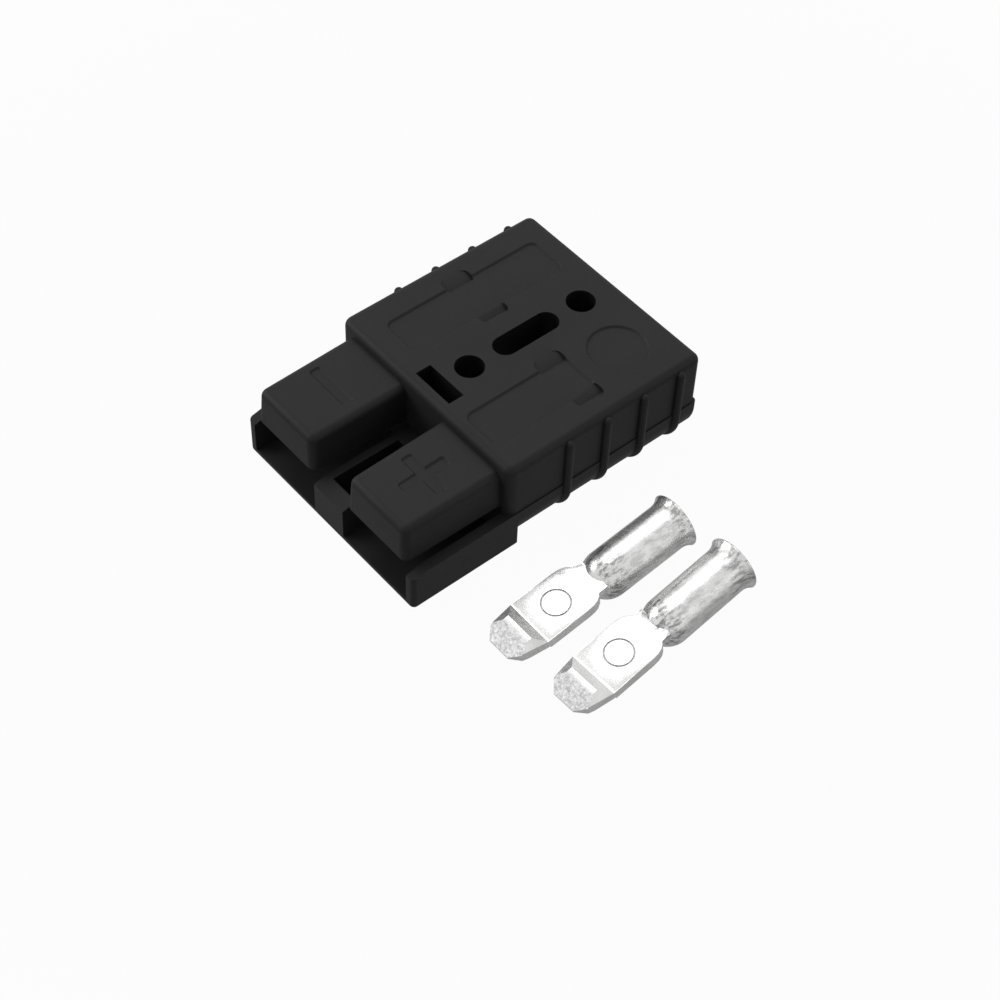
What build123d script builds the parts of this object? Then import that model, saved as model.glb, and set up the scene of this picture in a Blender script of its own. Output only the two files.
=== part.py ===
from build123d import *
import math
import os

# A two-pole genderless power connector: moulded housing, two leaf springs and two crimp contacts.
# Millimetres. X runs across the two poles, -Y is the mating face, +Y the cable face, +Z up.
# The origin is on the underside, midway between the two mounting holes.

# Housing envelope
housing_length = 50.0
tray_width = 36.0
housing_height = 15.7
parting_height = 6.75
parting_ledge = 0.15
mating_depth = 16.0
tray_length = 17.75
lower_round = 5.4
corner_round = 1.5
top_round = 1.2
small_round = 0.8
cable_face_round = 0.6

# Mating bays between the walls of the tray
floor_thickness = 1.2
side_wall = 1.5
centre_wall = 6.2
bay_relief = 0.6
lead_in_length = 2.3
lead_in_drop = 0.55
wall_pad_thickness = 0.25
wall_pad_length = 3.6
wall_pad_drop = 0.9
wall_pocket_skin = 1.2
wall_pocket_length = 11.0
wall_pocket_floor = 1.6

# Hooded tongues over the contacts
mating_gap = 0.3
face_gap = 0.1
cover_gap = 0.75
tongue_setback = 0.3
tongue_rake = 0.2
tongue_taper = 0.4
tongue_draft = 0.35
tongue_rise = 0.3
tongue_round = 1.2
tongue_roof = 1.25
tongue_nose = 1.3

# Grip ribs on both sides of the body
rib_count = 4
rib_width = 1.3
rib_proud = 0.8
rib_round = 5.6
rib_pitch = 6.6
rib_setback = 26.2
rib_top_drop = 1.5

# Mounting holes and slots down the middle
hole_spacing = 19.8
hole_radius = 2.1
front_hole_setback = 24.0
key_slot_length = 7.0
key_slot_width = 2.5
key_slot_offset = 5.15
long_slot_length = 10.9
long_slot_width = 3.6

# Shallow recesses in the top face
recess_depth = 0.25
panel_width = 6.5
panel_round = 1.0
minus_panel_length = 26.2
minus_panel_setback = 20.1
plus_panel_length = 17.1
plus_panel_setback = 17.9
badge_radius = 4.1
badge_setback = 41.8
dimple_width = 2.9
dimple_length = 4.6
dimple_depth = 0.7
dimple_crest = 0.45
dimple_spread = 3.75
dimple_setback = 33.0
dimple_corner = 1.15

# Crimp contact, measured from its cable mouth along its own axis
contact_length = 30.5
mouth_radius = 4.0
mouth_length = 1.9
rim_round = 0.25
barrel_radius = 3.4
barrel_length = 12.3
shoulder_length = 2.9
neck_radius = 1.9
bore_radius = 2.65
bore_depth = 11.4
bore_tip = 1.0
funnel_depth = 1.2
blade_width = 7.5
neck_width = 5.3
blade_start = 14.3
neck_length = 2.0
blade_full = 23.0
blade_thickness = 1.8
blade_lift = 0.4
blade_edge_round = 0.6
hook_length = 5.2
hook_ramp = 1.5
hook_rise = 0.9
hook_land = 0.9
hook_crest_width = 4.6
nose_height = 1.4
nose_thickness = 0.25
nose_width = 3.6
nose_corner = 1.3

# Room for the contacts inside the housing
barrel_gap = 0.7
blade_gap = 0.8
channel_floor_gap = 0.35
channel_length = 19.4
entry_chamfer = 0.5

# Leaf spring in each pole
spring_width = 7.6
spring_thickness = 0.4
spring_gap = 0.2
spring_play = 0.1
spring_front_setback = 9.2
spring_length = 20.8
spring_slot_rest = 0.3
spring_preload = 0.4
spring_lip = 0.5
spring_flat = 10.4

# Loose contacts beside the housing: mouth centre from the front lip and the middle, and turn
loose_contacts = {
    "contact_plus": (31.05, 34.15, -0.6),
    "contact_minus": (41.1, 35.2, 1.9),
}

# Values that follow from the ones above
front = -(front_hole_setback + hole_spacing / 2)
rear = front + housing_length
half_width = tray_width / 2
body_half = half_width - parting_ledge
bay_width = half_width - centre_wall / 2 - side_wall
pole_offset = (centre_wall + bay_width) / 2
contact_plane = housing_height / 2
tongue_bottom = contact_plane + face_gap
tongue_top = housing_height - floor_thickness - cover_gap
ceiling = tongue_top - tongue_roof
spring_ledge = ceiling - spring_thickness - 2 * spring_play
barrel_axis = contact_plane - blade_lift
entry_radius = mouth_radius + barrel_gap
blade_top = blade_lift + blade_thickness
hook_start = contact_length - hook_length
channel_width = blade_width + 2 * blade_gap
poles = {"plus": 1, "minus": -1}
past = 1.0
from_base = (Align.CENTER, Align.CENTER, Align.MIN)


def block(x0, x1, y0, y1, z0, z1):
    """A box between two corners, with y measured back from the front lip."""
    size = Box(x1 - x0, y1 - y0, z1 - z0, align=Align.MIN)
    return Pos(x0, front + y0, z0) * size


def profile_yz(points, half):
    """A closed outline in the Y-Z plane, extruded to both sides of the middle."""
    face = make_face(Polyline(*[(-half, front + y, z) for y, z in points], close=True))
    return extrude(face, amount=2 * half, dir=(1, 0, 0))


def tray_block():
    """The square lower front of the housing, before the mating bays are cut out of it."""
    tray = block(-half_width, half_width, 0, tray_length, 0, parting_height)
    uprights = tray.edges().filter_by(Axis.Z).group_by(Axis.Y)[0]
    tray = fillet(uprights, small_round)
    long_lower = tray.edges().filter_by(Axis.Y).group_by(Axis.Z)[0]
    return fillet(long_lower, small_round)


def lower_body():
    """The lower half of the body, with its sides rolled under in one large round."""
    body = block(-half_width, half_width, mating_depth, housing_length, 0, parting_height)
    body = fillet(body.edges().filter_by(Axis.Y).group_by(Axis.Z)[0], lower_round)
    rear_face = body.faces().sort_by(Axis.Y)[-1]
    return fillet(rear_face.edges().sort_by(Axis.Z)[:-1], cable_face_round)


def upper_body():
    """The square-sided upper half of the body, rounded along its top and upright edges."""
    body = block(-body_half, body_half, mating_depth, housing_length, parting_height, housing_height)
    uprights = body.edges().filter_by(Axis.Z).group_by(Axis.Y)
    body = fillet(uprights[0], corner_round)
    rear_uprights = body.edges().filter_by(Axis.Z).group_by(Axis.Y)[-1]
    top_edges = body.faces().sort_by(Axis.Z)[-1].edges()
    return fillet(rear_uprights + top_edges, top_round)


def grip_rib():
    """One half-round rib with a domed top, from below the top edge down and round the lower side."""
    half = rib_width / 2
    x = body_half + rib_proud - half
    top = housing_height - rib_top_drop - half
    path_radius = rib_round - half
    turn = RadiusArc((x, rib_round), (x - path_radius, half), path_radius)
    path = Plane.XZ * (Line((x, top), (x, rib_round)) + turn)
    run = sweep(Pos(x, 0, top) * Circle(half), path=path)
    return run + Pos(x, 0, top) * Sphere(half)


def grip_ribs():
    """The row of ribs along each side."""
    right = grip_rib()
    left = mirror(right, about=Plane.YZ)
    places = [Pos(0, front + rib_setback + k * rib_pitch, 0) for k in range(rib_count)]
    return [place * rib for rib in (right, left) for place in places]


def tongue(side):
    """The hood over one contact, tapered towards its nose and rounded on its outer edges."""
    x = side * pole_offset
    root_half = bay_width / 2 - mating_gap
    nose_half = root_half - tongue_taper / 2
    y0 = front + tongue_setback
    y1 = front + mating_depth + corner_round

    def section(y, half, top, rake):
        upper = half - tongue_draft
        return make_face(Polyline((x - half, y, tongue_bottom), (x + half, y, tongue_bottom),
                                  (x + upper, y + rake, top), (x - upper, y + rake, top), close=True))

    nose = section(y0, nose_half, tongue_top, tongue_rake)
    root = section(y1, root_half, tongue_top + tongue_rise, 0)
    hood = loft([nose, root], ruled=True)
    nose_edges = hood.faces().sort_by(Axis.Y)[0].edges().sort_by(Axis.X)
    top_edges = hood.faces().sort_by(Axis.Z)[-1].edges().sort_by(Axis.Y)
    return fillet([nose_edges[0], nose_edges[-1]] + top_edges[:-1], tongue_round)


def mating_bay(side):
    """The open bay under one tongue, which takes the other connector's tongue."""
    inner = centre_wall / 2
    outer = inner + bay_width
    depth = mating_depth + bay_relief
    bay = block(inner, outer, -past, depth, floor_thickness, tongue_bottom)
    pad_start = mating_depth - wall_pad_length
    pad_top = parting_height - wall_pad_drop
    bay -= block(outer - wall_pad_thickness, outer, pad_start, depth, floor_thickness, pad_top)
    return bay if side > 0 else mirror(bay, about=Plane.YZ)


def wall_lead_in():
    """The slope on the front of the tray's walls that guides the other housing in."""
    slope = lead_in_drop / lead_in_length
    low = parting_height - lead_in_drop - past * slope
    high = parting_height + face_gap
    points = [(-past, low), (lead_in_length, parting_height), (lead_in_length, high), (-past, high)]
    return profile_yz(points, half_width + past)


def centre_wall_pocket():
    """The core-out in the top of the centre wall."""
    half = centre_wall / 2 - wall_pocket_skin
    return block(-half, half, lead_in_length, lead_in_length + wall_pocket_length, wall_pocket_floor,
                 parting_height + past)


def contact_passage(side):
    """Everything that is cut out of the housing for one contact, its spring and its cable."""
    x = side * pole_offset
    x0 = x - channel_width / 2
    x1 = x + channel_width / 2
    hood_room = block(x0, x1, tongue_setback + tongue_nose, mating_depth, tongue_bottom - past, ceiling)
    body_room = block(x0, x1, mating_depth, channel_length, contact_plane - channel_floor_gap, ceiling)
    slot_half = spring_width / 2 + spring_gap
    spring_slot = block(x - slot_half, x + slot_half, channel_length - past,
                        spring_front_setback + spring_length + spring_slot_rest, spring_ledge, ceiling)
    bore_length = housing_length - channel_length
    inwards = Pos(x, rear, barrel_axis) * Rot(90, 0, 0)
    bore = inwards * Cylinder(entry_radius, bore_length, align=from_base)
    mouth = inwards * Cone(entry_radius + entry_chamfer, entry_radius, entry_chamfer, align=from_base)
    return hood_room + body_room + spring_slot + bore + mouth


def middle_openings():
    """The two mounting holes, the key slot and the long slot, all right through."""
    deep = housing_height + 2 * past
    cuts = []
    for y in (front_hole_setback, front_hole_setback + hole_spacing):
        cuts.append(Pos(0, front + y, -past) * Cylinder(hole_radius, deep, align=from_base))
    key_y = front + front_hole_setback - key_slot_offset
    cuts.append(Pos(0, key_y, -past) * Box(key_slot_length, key_slot_width, deep, align=from_base))
    oblong = SlotOverall(long_slot_length, long_slot_width, rotation=90)
    cuts.append(Pos(0, 0, -past) * extrude(oblong, amount=deep))
    return cuts


def panel_recess(side, setback, length):
    """A shallow rounded recess in the top face over one pole."""
    plate = RectangleRounded(panel_width, length, panel_round)
    place = Pos(side * pole_offset, front + setback + length / 2, housing_height - recess_depth)
    return place * extrude(plate, amount=recess_depth + past)


def dimple():
    """A scoop with a gentle and a steep flank, which meet in a crease."""
    plan = RectangleRounded(dimple_width, dimple_length, dimple_corner)
    column = Pos(0, 0, -dimple_depth - past) * extrude(plan, amount=dimple_depth + 2 * past)
    half = dimple_width / 2
    trough = make_face(Polyline((-half - past, -dimple_length, past), (-half, -dimple_length, 0),
                                (dimple_crest, -dimple_length, -dimple_depth), (half, -dimple_length, 0),
                                (half + past, -dimple_length, past), close=True))
    return column & extrude(trough, amount=2 * dimple_length, dir=(0, 1, 0))


def top_recesses():
    """The recessed panels, the bare round recess and the four dimples."""
    cuts = [
        panel_recess(poles["minus"], minus_panel_setback, minus_panel_length),
        panel_recess(poles["plus"], plus_panel_setback, plus_panel_length),
        Pos(pole_offset, front + badge_setback, housing_height - recess_depth)
        * Cylinder(badge_radius, recess_depth + past, align=from_base),
    ]
    scoop = dimple()
    for side in poles.values():
        for step in (-1, 1):
            x = side * pole_offset + step * dimple_spread
            cuts.append(Pos(x, front + dimple_setback, housing_height) * scoop)
    return cuts


def housing():
    """The one-piece moulded housing."""
    shell = tray_block() + lower_body() + upper_body()
    shell += grip_ribs()
    cuts = [wall_lead_in(), centre_wall_pocket()]
    cuts += [mating_bay(side) for side in poles.values()]
    shell -= cuts
    shell += [tongue(side) for side in poles.values()]
    shell -= [contact_passage(side) for side in poles.values()]
    shell -= middle_openings()
    shell -= top_recesses()
    return shell


def leaf_spring(side):
    """The spring strip: a flat tail held in its slot, and an arm that curves down onto the blade."""
    t = spring_thickness
    low = spring_ledge + spring_play
    free = contact_plane + blade_thickness - spring_preload
    y0 = front + spring_front_setback
    y1 = y0 + spring_length - spring_flat
    y2 = y0 + spring_length
    lip_y = y0 - spring_lip
    lip_z = free + spring_lip / 2
    outline = [
        Line((y2, low), (y1, low)),
        TangentArc((y1, low), (y0, free), tangent=(-1, 0)),
        Line((y0, free), (lip_y, lip_z)),
        Line((lip_y, lip_z), (lip_y, lip_z + t)),
        Line((lip_y, lip_z + t), (y0, free + t)),
        TangentArc((y1, low + t), (y0, free + t), tangent=(-1, 0)),
        Line((y1, low + t), (y2, low + t)),
        Line((y2, low + t), (y2, low)),
    ]
    strip = extrude(Plane.YZ * make_face(outline), amount=spring_width / 2, both=True)
    strip = Pos(side * pole_offset, 0, 0) * strip
    corners = strip.faces().sort_by(Axis.Y)[-1].edges().filter_by(Axis.Z)
    return fillet(corners, small_round)


def contact_barrel():
    """The crimp barrel: flared mouth, plain tube, domed shoulder and blind wire bore."""
    shoulder_end = barrel_length + shoulder_length
    outline = [
        Line((0, bore_radius + funnel_depth / 2), (0, mouth_radius - rim_round)),
        RadiusArc((0, mouth_radius - rim_round), (rim_round, mouth_radius), rim_round),
        TangentArc((mouth_length, barrel_radius), (rim_round, mouth_radius), tangent=(-1, 0)),
        Line((mouth_length, barrel_radius), (barrel_length, barrel_radius)),
        TangentArc((barrel_length, barrel_radius), (shoulder_end, neck_radius), tangent=(1, 0)),
        Line((shoulder_end, neck_radius), (shoulder_end, 0)),
        Line((shoulder_end, 0), (bore_depth + bore_tip, 0)),
        Line((bore_depth + bore_tip, 0), (bore_depth, bore_radius)),
        Line((bore_depth, bore_radius), (funnel_depth, bore_radius)),
        Line((funnel_depth, bore_radius), (0, bore_radius + funnel_depth / 2)),
    ]
    return revolve(make_face(outline), Axis.X)


def contact_blade():
    """The flat blade: waisted at the neck, hooked at the tip and bevelled across its nose."""
    half = blade_width / 2
    neck = neck_width / 2
    neck_end = blade_start + neck_length
    tip = contact_length
    crest_start = hook_start + hook_ramp
    crest_end = crest_start + hook_land
    crest = blade_top + hook_rise
    nose = blade_lift + nose_height
    side_view = make_face(Polyline(
        (blade_start, 0, blade_lift), (hook_start + hook_ramp, 0, blade_lift),
        (tip, 0, nose - nose_thickness), (tip, 0, nose), (crest_end, 0, crest), (crest_start, 0, crest),
        (hook_start, 0, blade_top), (blade_start, 0, blade_top), close=True))
    strip = extrude(side_view, amount=blade_width, both=True)
    plan = make_face([
        Line((blade_start, -neck), (blade_start, neck)),
        Line((blade_start, neck), (neck_end, neck)),
        TangentArc((blade_full, half), (neck_end, neck), tangent=(-1, 0)),
        Line((blade_full, half), (hook_start, half)),
        Line((hook_start, half), (tip - nose_corner, nose_width / 2 + nose_corner)),
        Line((tip - nose_corner, nose_width / 2 + nose_corner), (tip, nose_width / 2)),
        Line((tip, nose_width / 2), (tip, -nose_width / 2)),
        Line((tip, -nose_width / 2), (tip - nose_corner, -nose_width / 2 - nose_corner)),
        Line((tip - nose_corner, -nose_width / 2 - nose_corner), (hook_start, -half)),
        Line((hook_start, -half), (blade_full, -half)),
        TangentArc((blade_full, -half), (neck_end, -neck), tangent=(-1, 0)),
        Line((neck_end, -neck), (blade_start, -neck)),
    ])
    blade = strip & extrude(plan, amount=blade_top + hook_rise + past)
    hook_side = make_face(Polyline(
        (hook_start, half, blade_top), (hook_start, hook_crest_width / 2, crest),
        (hook_start, half + past, crest + past), (hook_start, half + past, blade_top), close=True))
    bevel = extrude(hook_side, amount=hook_length + past, dir=(1, 0, 0))
    blade -= [bevel, mirror(bevel, about=Plane.XZ)]
    lower_edges = blade.faces().sort_by(Axis.Z)[0].edges().sort_by(Axis.X)
    return fillet(lower_edges[1:-1], blade_edge_round)


def contact():
    """One contact on its own axis: mouth at the origin, blade along +X, hook up."""
    return contact_barrel() + contact_blade()


def loose_contact(place):
    """A contact lying on its mouth rim and on the bend under its hook."""
    x, setback, turn = place
    reach = hook_start + hook_ramp
    pitch = math.degrees(math.atan2(mouth_radius + blade_lift, reach))
    lying = Rot(0, 0, turn - 90) * Rot(0, pitch, 0) * contact()
    low = lying.bounding_box().min.Z
    return Pos(x, front + setback, -low) * lying


def main():
    os.makedirs("parts", exist_ok=True)
    export_step(housing(), "parts/housing.step")
    for name, side in poles.items():
        export_step(leaf_spring(side), f"parts/spring_{name}.step")
    for name, place in loose_contacts.items():
        export_step(loose_contact(place), f"parts/{name}.step")


main()
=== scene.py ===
import math

import bmesh
import bpy
from mathutils import Matrix, Vector


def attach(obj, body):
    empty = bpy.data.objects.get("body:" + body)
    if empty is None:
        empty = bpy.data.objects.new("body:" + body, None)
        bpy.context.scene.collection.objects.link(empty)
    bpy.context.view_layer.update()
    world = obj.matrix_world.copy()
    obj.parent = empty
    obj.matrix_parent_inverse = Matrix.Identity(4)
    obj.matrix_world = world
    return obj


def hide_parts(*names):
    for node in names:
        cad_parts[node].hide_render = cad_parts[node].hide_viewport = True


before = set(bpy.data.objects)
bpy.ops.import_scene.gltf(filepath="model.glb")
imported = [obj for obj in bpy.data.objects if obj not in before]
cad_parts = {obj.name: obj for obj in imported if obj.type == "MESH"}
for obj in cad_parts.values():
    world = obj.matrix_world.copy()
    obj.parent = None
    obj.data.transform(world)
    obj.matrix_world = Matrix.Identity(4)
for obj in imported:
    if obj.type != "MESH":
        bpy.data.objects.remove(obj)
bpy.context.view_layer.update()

# Lengths are in millimetres and angles in degrees, except inside shaders, which use metres
MM = 0.001
HEIGHT = 15.7
FRONT = -33.9

# Node helpers


def new_material(name):
    """A material with an empty node tree and its output."""
    mat = bpy.data.materials.new(name)
    mat.use_nodes = True
    tree = mat.node_tree
    tree.nodes.clear()
    out = tree.nodes.new("ShaderNodeOutputMaterial")
    return mat, tree, out


def add(tree, kind, **inputs):
    """A node with some of its inputs set by name."""
    node = tree.nodes.new(kind)
    for key, value in inputs.items():
        node.inputs[key.replace("_", " ")].default_value = value
    return node


def grey(value):
    return (value, value, value)


def ramp(tree, source, low, high, low_colour, high_colour):
    """A colour ramp between two places, fed by a socket."""
    node = tree.nodes.new("ShaderNodeValToRGB")
    node.color_ramp.elements[0].position = low
    node.color_ramp.elements[1].position = high
    node.color_ramp.elements[0].color = (*low_colour, 1)
    node.color_ramp.elements[1].color = (*high_colour, 1)
    tree.links.new(source, node.inputs["Fac"])
    return node


def place(tree):
    """The object coordinates."""
    return tree.nodes.new("ShaderNodeTexCoord").outputs["Object"]


def stretched(tree, vector, scale):
    """Coordinates scaled along each axis."""
    node = tree.nodes.new("ShaderNodeMapping")
    node.inputs["Scale"].default_value = scale
    tree.links.new(vector, node.inputs["Vector"])
    return node.outputs["Vector"]


def noise(tree, vector, scale, detail=2.0, roughness=0.5):
    node = add(tree, "ShaderNodeTexNoise", Scale=scale, Detail=detail, Roughness=roughness)
    tree.links.new(vector, node.inputs["Vector"])
    return node.outputs["Fac"]


def bump(tree, height, strength, distance, normal=None):
    node = add(tree, "ShaderNodeBump", Strength=strength, Distance=distance)
    tree.links.new(height, node.inputs["Height"])
    if normal:
        tree.links.new(normal, node.inputs["Normal"])
    return node.outputs["Normal"]


def maths(tree, operation, first, second):
    node = tree.nodes.new("ShaderNodeMath")
    node.operation = operation
    tree.links.new(first, node.inputs[0])
    tree.links.new(second, node.inputs[1])
    return node.outputs[0]


def blend(tree, amount, first, second):
    """A mix of two shaders."""
    node = tree.nodes.new("ShaderNodeMixShader")
    tree.links.new(amount, node.inputs["Fac"])
    tree.links.new(first, node.inputs[1])
    tree.links.new(second, node.inputs[2])
    return node.outputs["Shader"]


# Materials

# How scuffed a loose contact's plating is at places along Y, from the blade to the mouth
WEAR_FROM = -16.0
WEAR_TO = 2.0
WEAR = [(-15.0, 0.0), (-13.6, 0.9), (-11.5, 0.8), (-9.5, 0.3), (-3.0, 0.3), (-1.5, 0.7),
        (WEAR_TO, 0.7)]


def moulded_plastic(name, low, high):
    """Charcoal satin plastic with a fine moulded grain and slight flow marks; a much darker copy of it
    is painted shade.
    """
    mat, tree, out = new_material(name)
    link = tree.links.new
    vector = place(tree)
    shader = add(tree, "ShaderNodeBsdfPrincipled", Metallic=0.0, IOR=1.36,
                 Specular_IOR_Level=0.24)
    cloud = noise(tree, vector, 90.0, 3.0)
    tone = ramp(tree, cloud, 0.3, 0.7, (low, low, low * 1.02), (high, high, high * 1.02))
    link(tone.outputs["Color"], shader.inputs["Base Color"])
    grain = noise(tree, vector, 5200.0, 2.0, 0.6)
    rough = ramp(tree, grain, 0.3, 0.7, grey(0.46), grey(0.56))
    link(rough.outputs["Color"], shader.inputs["Roughness"])
    swirl = noise(tree, vector, 260.0, 2.0)
    fine = bump(tree, grain, 0.10, 0.00003)
    link(bump(tree, swirl, 0.12, 0.0001, fine), shader.inputs["Normal"])
    link(shader.outputs["BSDF"], out.inputs["Surface"])
    return mat


def scuffs(tree, vector):
    """Streaky patches along Y, where WEAR has them."""
    streaks = noise(tree, stretched(tree, vector, (1.0, 0.25, 1.0)), 2000.0, 4.0, 0.65)
    patches = ramp(tree, streaks, 0.46, 0.6, grey(0), grey(1))
    split = tree.nodes.new("ShaderNodeSeparateXYZ")
    tree.links.new(vector, split.inputs["Vector"])
    along = tree.nodes.new("ShaderNodeMapRange")
    along.inputs["From Min"].default_value = WEAR_FROM * MM
    along.inputs["From Max"].default_value = WEAR_TO * MM
    tree.links.new(split.outputs["Y"], along.inputs["Value"])
    wear = ramp(tree, along.outputs["Result"], 0.0, 1.0, grey(0), grey(WEAR[-1][1]))
    for y, amount in WEAR[:-1]:
        stop = wear.color_ramp.elements.new((y - WEAR_FROM) / (WEAR_TO - WEAR_FROM))
        stop.color = (*grey(amount), 1)
    return maths(tree, "MULTIPLY", patches.outputs["Color"], wear.outputs["Color"])


def tin_plate():
    """Bright tin plating over stamped copper, with a soft grain and scuffs on the barrel."""
    mat, tree, out = new_material("tin_plate")
    link = tree.links.new
    vector = place(tree)
    shader = add(tree, "ShaderNodeBsdfPrincipled", Metallic=0.66)
    cloud = noise(tree, vector, 420.0, 4.0)
    tone = ramp(tree, cloud, 0.35, 0.7, (0.80, 0.80, 0.795), (0.96, 0.96, 0.955))
    worn = tree.nodes.new("ShaderNodeMix")
    worn.data_type = "RGBA"
    worn.inputs[7].default_value = (0.22, 0.22, 0.22, 1)
    link(scuffs(tree, vector), worn.inputs[0])
    link(tone.outputs["Color"], worn.inputs[6])
    link(worn.outputs[2], shader.inputs["Base Color"])
    grain = noise(tree, vector, 2600.0, 3.0, 0.6)
    rough = ramp(tree, grain, 0.3, 0.75, grey(0.2), grey(0.38))
    link(rough.outputs["Color"], shader.inputs["Roughness"])
    link(bump(tree, grain, 0.25, 0.00006), shader.inputs["Normal"])
    link(shader.outputs["BSDF"], out.inputs["Surface"])
    return mat


def rough_metal(name, low, high):
    """Grainy rough metal: bare metal on the sheared faces, and a darker tone as painted shade in the
    stamped grooves.
    """
    mat, tree, out = new_material(name)
    link = tree.links.new
    shader = add(tree, "ShaderNodeBsdfPrincipled", Metallic=1.0, Roughness=0.55)
    grit = noise(tree, place(tree), 2400.0, 4.0, 0.7)
    tone = ramp(tree, grit, 0.35, 0.65, grey(low), grey(high))
    link(tone.outputs["Color"], shader.inputs["Base Color"])
    link(bump(tree, grit, 0.6, 0.00012), shader.inputs["Normal"])
    link(shader.outputs["BSDF"], out.inputs["Surface"])
    return mat


def spring_steel():
    """Plain stainless strip with fine rolling lines."""
    mat, tree, out = new_material("spring_steel")
    link = tree.links.new
    lines = noise(tree, stretched(tree, place(tree), (6000.0, 120.0, 6000.0)), 1.0, 2.0)
    shader = add(tree, "ShaderNodeBsdfPrincipled", Metallic=1.0)
    tone = ramp(tree, lines, 0.3, 0.7, (0.52, 0.52, 0.51), (0.63, 0.63, 0.62))
    rough = ramp(tree, lines, 0.3, 0.7, grey(0.24), grey(0.36))
    link(tone.outputs["Color"], shader.inputs["Base Color"])
    link(rough.outputs["Color"], shader.inputs["Roughness"])
    link(shader.outputs["BSDF"], out.inputs["Surface"])
    return mat


# Mesh helpers

CORNER_STEPS = 8
SLANT = 1.1


def new_object(name, mesh):
    """An object for a mesh, in the scene."""
    obj = bpy.data.objects.new(name, mesh)
    bpy.context.collection.objects.link(obj)
    return obj


def from_bmesh(name, bm):
    """An object made of a finished bmesh."""
    mesh = bpy.data.meshes.new(name)
    bm.to_mesh(mesh)
    bm.free()
    return new_object(name, mesh)


def prism(name, outline, low, high, wider=None):
    """A closed prism between two heights, which may end in a wider outline."""
    bm = bmesh.new()
    bottom = [bm.verts.new((x * MM, y * MM, low * MM)) for x, y in outline]
    top = [bm.verts.new((x * MM, y * MM, high * MM)) for x, y in wider or outline]
    bm.faces.new(list(reversed(bottom)))
    bm.faces.new(top)
    count = len(outline)
    for k in range(count):
        n = (k + 1) % count
        bm.faces.new((bottom[k], bottom[n], top[n], top[k]))
    bm.normal_update()
    return from_bmesh(name, bm)


def rounded_box(x, y, width, depth, radius):
    """The outline of a box with round corners about a centre."""
    outline = []
    for sx, sy, start in ((1, 1, 0), (-1, 1, 90), (-1, -1, 180), (1, -1, 270)):
        cx = x + sx * (width / 2 - radius)
        cy = y + sy * (depth / 2 - radius)
        for k in range(CORNER_STEPS + 1):
            a = math.radians(start + 90 * k / CORNER_STEPS)
            outline.append((cx + radius * math.cos(a), cy + radius * math.sin(a)))
    return outline


def sunk(name, x, y, width, depth, radius, low, high):
    """A cutter with slanted sides, so that the edge of a sunk area shows from every side."""
    spread = (high - low) * SLANT
    return prism(name, rounded_box(x, y, width, depth, radius), low, high,
                 rounded_box(x, y, width + 2 * spread, depth + 2 * spread, radius + spread))


def replica(node, name):
    """A copy of a CAD node's mesh as a piece of its own."""
    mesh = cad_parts[node].data.copy()
    mesh.name = name
    return new_object(name, mesh)


def bake_modifiers(obj):
    """Keeps what an object's modifiers make of its mesh, and removes them."""
    depsgraph = bpy.context.evaluated_depsgraph_get()
    mesh = bpy.data.meshes.new_from_object(obj.evaluated_get(depsgraph))
    obj.modifiers.clear()
    obj.data = mesh


def combine(obj, others, operation):
    """Joins the others to obj or cuts them out of it, for good, and removes them."""
    for other in others:
        mod = obj.modifiers.new("combine", "BOOLEAN")
        mod.operation = operation
        mod.solver = "EXACT"
        mod.object = other
    bake_modifiers(obj)
    for other in others:
        bpy.data.objects.remove(other)


def smooth_by_angle(obj, degrees):
    """Smooth shading with sharp edges above an angle."""
    mesh = obj.data
    bm = bmesh.new()
    bm.from_mesh(mesh)
    limit = math.radians(degrees)
    for face in bm.faces:
        face.smooth = True
    for edge in bm.edges:
        edge.smooth = len(edge.link_faces) == 2 and edge.calc_face_angle(0.0) < limit
    bm.to_mesh(mesh)
    bm.free()


def dress(obj, *materials):
    obj.data.materials.clear()
    for material in materials:
        obj.data.materials.append(material)


# Housing: rib tops, polarity signs, the slanted walls of the sunk areas, and painted shade on the
# walls of the web's holes and slots

SIGN_DEPTH = 0.24
SIGN_BAR = 1.3
SIGN_CORNER = 0.25
SIGN_Y = FRONT + 8.4
TONGUE_TOP = 13.89
RIB_X = 18.0
RIB_RADIUS = 0.66
RIB_FIRST = FRONT + 26.2
RIB_PITCH = 6.6
RIB_COUNT = 4
RIB_TOP = 15.0
RIB_FOOT = 13.0
RING_SIDES = 24
DOME_STEPS = 5
HOUSING_CREASE = 32

# Centre, width, depth and corner of the two panels and the round recess, just inside their walls
AREAS = [
    (-9.8, FRONT + 33.2, 6.46, 26.16, 0.98),
    (9.8, FRONT + 26.45, 6.46, 17.06, 0.98),
    (9.8, FRONT + 41.8, 8.16, 8.16, 4.08),
]
AREA_LOW = 15.46
AREA_HIGH = HEIGHT + 0.1

# Where the steep walls of the holes and slots in the middle web are; these walls get a much darker
# plastic as painted shade
WEB_HALF = 3.7
WEB_SPAN = (FRONT + 17.3, FRONT + 46.2)
WALL_SPAN = (0.3, 15.4)
STEEP = 0.5


def sign_cutter(name, x, length, upright):
    """The cutter for one stroke of a sign."""
    width, depth = (SIGN_BAR, length) if upright else (length, SIGN_BAR)
    return sunk(name, x, SIGN_Y, width, depth, SIGN_CORNER, TONGUE_TOP - SIGN_DEPTH, HEIGHT)


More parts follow.
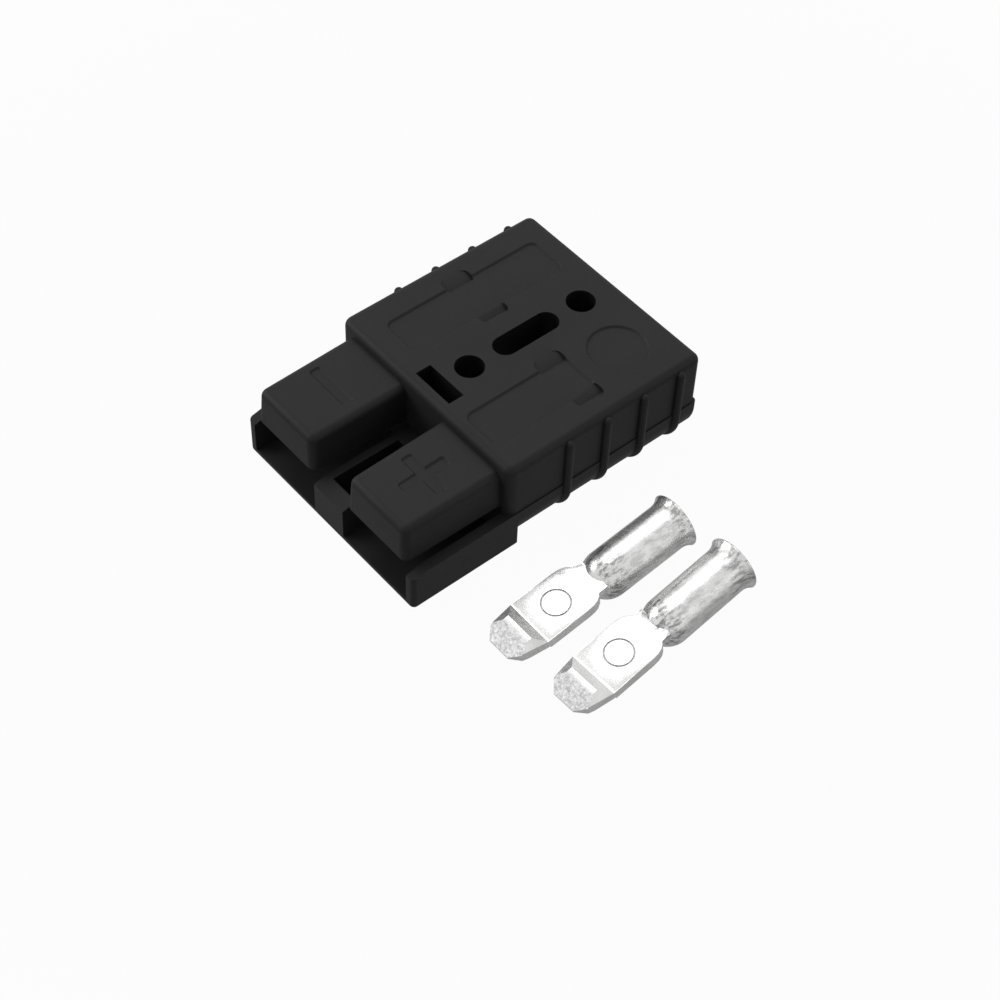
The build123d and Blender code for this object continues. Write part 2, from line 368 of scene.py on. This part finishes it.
def rib_top(name, x, y):
    """A round rod with a domed top, which carries one rib up onto the housing's rounded edge."""
    bm = bmesh.new()
    centre = RIB_TOP - RIB_RADIUS
    levels = [(RIB_FOOT, RIB_RADIUS)]
    for k in range(DOME_STEPS):
        a = math.pi / 2 * k / DOME_STEPS
        levels.append((centre + RIB_RADIUS * math.sin(a), RIB_RADIUS * math.cos(a)))
    rings = []
    for z, r in levels:
        ring = []
        for n in range(RING_SIDES):
            a = 2 * math.pi * n / RING_SIDES
            ring.append(bm.verts.new(((x + r * math.cos(a)) * MM, (y + r * math.sin(a)) * MM, z * MM)))
        rings.append(ring)
    tip = bm.verts.new((x * MM, y * MM, RIB_TOP * MM))
    bm.faces.new(list(reversed(rings[0])))
    for lower, upper in zip(rings, rings[1:]):
        for n in range(RING_SIDES):
            m = (n + 1) % RING_SIDES
            bm.faces.new((lower[n], lower[m], upper[m], upper[n]))
    for n in range(RING_SIDES):
        bm.faces.new((rings[-1][n], rings[-1][(n + 1) % RING_SIDES], tip))
    return from_bmesh(name, bm)


shell = replica("housing", "housing_shell")
tops = []
for side in (-1, 1):
    for k in range(RIB_COUNT):
        tops.append(rib_top(f"rib_top_{len(tops)}", side * RIB_X, RIB_FIRST + k * RIB_PITCH))
combine(shell, tops, "UNION")
combine(shell, [
    sign_cutter("minus_bar", -10.1, 7.3, False),
    sign_cutter("plus_bar", 9.7, 7.3, False),
    sign_cutter("plus_upright", 9.7, 7.2, True),
    *(sunk(f"area_{k}", *area, AREA_LOW, AREA_HIGH) for k, area in enumerate(AREAS)),
], "DIFFERENCE")
smooth_by_angle(shell, HOUSING_CREASE)
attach(shell, "root")
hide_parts("housing")

# The second, much darker plastic is painted shade for the steep walls of the web's holes and slots
dress(shell, moulded_plastic("charcoal_plastic", 0.0225, 0.026),
      moulded_plastic("painted_shade_plastic", 0.006, 0.009))
for face in shell.data.polygons:
    x, y, z = face.center / MM
    in_web = abs(x) < WEB_HALF and WEB_SPAN[0] < y < WEB_SPAN[1]
    if in_web and WALL_SPAN[0] < z < WALL_SPAN[1] and abs(face.normal.z) < STEEP:
        face.material_index = 1

# Loose contacts, each in a frame of its own: X from the mouth's centre to the blade's end, Z up.
# Each has its mouth's centre and its turn about Z, and lies tipped by the same angle.

CONTACT_PITCH = 9.32
MOUTH_HEIGHT = 5.396
CONTACTS = {
    "contact_plus": (31.05, FRONT + 34.15, -0.6),
    "contact_minus": (41.1, FRONT + 35.2, 1.9),
}
BLADE_LOW = 0.38
BLADE_TOP = 2.22
BLADE_EDGE = 0.14
# The blade's plate beside the neck, as distances along the contact and half widths
SHOULDERS = [(14.4, 2.2), (15.2, 2.3), (15.7, 2.65), (16.1, 3.1), (16.7, 3.48), (17.4, 3.68),
             (18.4, 3.76), (25.0, 3.76)]
STAMP_AT = 20.8
STAMP_RADII = (1.83, 2.10)
STAMP_DEPTH = 0.16
STAMP_SIDES = 48
CREST_AT = 27.6
CONTACT_CREASE = 28
# The least tilt of a sheared face to the end and upwards
SHEARED_TILT = 0.2
GROOVE_RIM = 0.02


def contact_pose(x, y, turn):
    """The placement of a contact from its own axis, in millimetres."""
    tilt = Matrix.Rotation(math.radians(CONTACT_PITCH), 4, "Y")
    swing = Matrix.Rotation(math.radians(turn - 90), 4, "Z")
    return Matrix.Translation(Vector((x, y, MOUTH_HEIGHT))) @ swing @ tilt


def blade_plate(name, pose):
    """The blade's flat part, with full shoulders next to the neck and softened edges."""
    outline = SHOULDERS + [(along, -across) for along, across in reversed(SHOULDERS)]
    obj = prism(name, list(reversed(outline)), BLADE_LOW, BLADE_TOP)
    mod = obj.modifiers.new("soften", "BEVEL")
    mod.width = BLADE_EDGE * MM
    mod.segments = 2
    mod.limit_method = "ANGLE"
    bake_modifiers(obj)
    for vert in obj.data.vertices:
        vert.co = (pose @ (vert.co / MM)) * MM
    return obj


def stamp_cutter(name, pose):
    """A ring-shaped cutter for the stamped circle on a blade's flat top."""
    bm = bmesh.new()
    inner, outer = STAMP_RADII
    low, high = BLADE_TOP - STAMP_DEPTH, BLADE_TOP + 1
    loops = []
    for n in range(STAMP_SIDES):
        a = 2 * math.pi * n / STAMP_SIDES
        loop = []
        for r, h in ((inner, low), (outer, low), (outer, high), (inner, high)):
            point = pose @ Vector((STAMP_AT + r * math.cos(a), r * math.sin(a), h))
            loop.append(bm.verts.new(point * MM))
        loops.append(loop)
    for n in range(STAMP_SIDES):
        here, there = loops[n], loops[(n + 1) % STAMP_SIDES]
        for k in range(4):
            m = (k + 1) % 4
            bm.faces.new((here[k], there[k], there[m], here[m]))
    bmesh.ops.recalc_face_normals(bm, faces=bm.faces)
    return from_bmesh(name, bm)


def mark_bare_and_shaded_faces(piece, pose):
    """Gives the sheared end its bare-metal material, and the stamped groove a darker metal as painted
    shade.
    """
    to_axis = pose.inverted()
    for face in piece.data.polygons:
        middle = to_axis @ (face.center / MM)
        facing = to_axis.to_3x3() @ face.normal
        if middle.x > CREST_AT and min(facing.x, facing.z) > SHEARED_TILT:
            face.material_index = 1
        off_centre = math.hypot(middle.x - STAMP_AT, middle.y)
        in_groove = BLADE_TOP - STAMP_DEPTH * 2 < middle.z < BLADE_TOP - GROOVE_RIM
        if off_centre < STAMP_RADII[1] + 0.01 and in_groove:
            face.material_index = 2


plate = tin_plate()
steel = spring_steel()
sheared = rough_metal("sheared_metal", 0.36, 0.68)
# Painted shade: the stamped grooves get a metal much darker than the plating around them
groove = rough_metal("groove_painted_shade", 0.34, 0.56)
for node, stand in CONTACTS.items():
    pose = contact_pose(*stand)
    piece = replica(node, node + "_plated")
    combine(piece, [blade_plate(node + "_plate", pose)], "UNION")
    combine(piece, [stamp_cutter(node + "_stamp", pose)], "DIFFERENCE")
    smooth_by_angle(piece, CONTACT_CREASE)
    dress(piece, plate, sheared, groove)
    mark_bare_and_shaded_faces(piece, pose)
    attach(piece, "root")
    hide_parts(node)
for node in ("spring_plus", "spring_minus"):
    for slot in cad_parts[node].material_slots:
        slot.material = steel

# Camera: its focal length was found in pixels of a picture 1000 wide

CAMERA_AT = (150.25, -138.98, 226.11)
YAW, PITCH, ROLL = (math.radians(a) for a in (47.92, 50.23, 2.67))
SENSOR = 36
FOCAL = 2161.3 / 1000 * SENSOR

back = Vector((math.sin(YAW) * math.cos(PITCH), -math.cos(YAW) * math.cos(PITCH), math.sin(PITCH)))
level = Vector((math.cos(YAW), math.sin(YAW), 0))
upward = back.cross(level)
right = math.cos(ROLL) * level + math.sin(ROLL) * upward
up = -math.sin(ROLL) * level + math.cos(ROLL) * upward
turn = Matrix((right, up, back)).transposed().to_4x4()
lens = bpy.data.cameras.new("camera")
lens.lens = FOCAL
lens.sensor_width = SENSOR
lens.clip_start = 0.01
lens.clip_end = 20
camera = new_object("camera", lens)
camera.matrix_world = Matrix.Translation(Vector(CAMERA_AT) * MM) @ turn
bpy.context.scene.camera = camera

# Floor and background: near the object the floor keeps a small share of real shade

FLOOR_HALF = 3000
FLOOR_DROP = 0.02
NEAR, FAR = 60, 220
NEAR_SHARE = 0.965
FLOOR_GLOW = 1.0
MIRRORED_GLOW = 0.42
FLOOR_TONE = 0.42
WORLD_SEEN, WORLD_SOFT, WORLD_MIRRORED = 1.0, 0.2, 0.9


def floor_material():
    """White to the camera, duller to mirrored rays and grey to bounced light."""
    mat, tree, out = new_material("floor")
    rays = tree.nodes.new("ShaderNodeLightPath").outputs
    matt = add(tree, "ShaderNodeBsdfDiffuse", Color=(*grey(FLOOR_TONE), 1))
    glow = add(tree, "ShaderNodeEmission", Color=(1, 1, 1, 1), Strength=FLOOR_GLOW)
    faint = add(tree, "ShaderNodeEmission", Color=(1, 1, 1, 1), Strength=MIRRORED_GLOW)
    seen = maths(tree, "MAXIMUM", rays["Is Camera Ray"], rays["Is Glossy Ray"])
    seen = maths(tree, "MAXIMUM", seen, rays["Is Transmission Ray"])
    reach = tree.nodes.new("ShaderNodeVectorMath")
    reach.operation = "LENGTH"
    tree.links.new(place(tree), reach.inputs[0])
    fade = tree.nodes.new("ShaderNodeMapRange")
    fade.interpolation_type = "SMOOTHSTEP"
    fade.inputs["From Min"].default_value = NEAR * MM
    fade.inputs["From Max"].default_value = FAR * MM
    fade.inputs["To Min"].default_value = NEAR_SHARE
    fade.inputs["To Max"].default_value = 1.0
    tree.links.new(reach.outputs["Value"], fade.inputs["Value"])
    share = maths(tree, "MULTIPLY", seen, fade.outputs["Result"])
    shine = blend(tree, rays["Is Camera Ray"], faint.outputs["Emission"], glow.outputs["Emission"])
    tree.links.new(blend(tree, share, matt.outputs["BSDF"], shine), out.inputs["Surface"])
    return mat


corners = [(sx * FLOOR_HALF, sy * FLOOR_HALF) for sx, sy in ((-1, -1), (1, -1), (1, 1), (-1, 1))]
floor = prism("floor", corners, -1.0, 0.0)
floor.location.z = -FLOOR_DROP * MM
dress(floor, floor_material())

world = bpy.data.worlds.new("studio")
bpy.context.scene.world = world
world.use_nodes = True
tree = world.node_tree
tree.nodes.clear()
out = tree.nodes.new("ShaderNodeOutputWorld")
rays = tree.nodes.new("ShaderNodeLightPath").outputs
white, soft, sheen = (
    add(tree, "ShaderNodeBackground", Color=(1, 1, 1, 1), Strength=strength).outputs["Background"]
    for strength in (WORLD_SEEN, WORLD_SOFT, WORLD_MIRRORED)
)
unseen = blend(tree, rays["Is Glossy Ray"], soft, sheen)
tree.links.new(blend(tree, rays["Is Camera Ray"], unseen, white), out.inputs["Surface"])

# Lights

MIDDLE = (10, -8, 5)


def area_light(name, at, size, power):
    """A square soft box at a place, facing the object's middle, in millimetres and watts."""
    lamp = bpy.data.lights.new(name, "AREA")
    lamp.shape = "SQUARE"
    lamp.size = size * MM
    lamp.energy = power
    obj = bpy.data.objects.new(name, lamp)
    stand = Vector(at) * MM
    aim = Vector(MIDDLE) * MM - stand
    obj.rotation_euler = aim.to_track_quat("-Z", "Y").to_euler()
    obj.location = stand
    bpy.context.collection.objects.link(obj)


area_light("overhead", (-160, 140, 520), 420, 0.88)
area_light("left_fill", (-420, -300, 260), 300, 1.3)
area_light("right_rim", (400, 260, 260), 220, 0.16)

bpy.context.scene.view_settings.view_transform = "Standard"
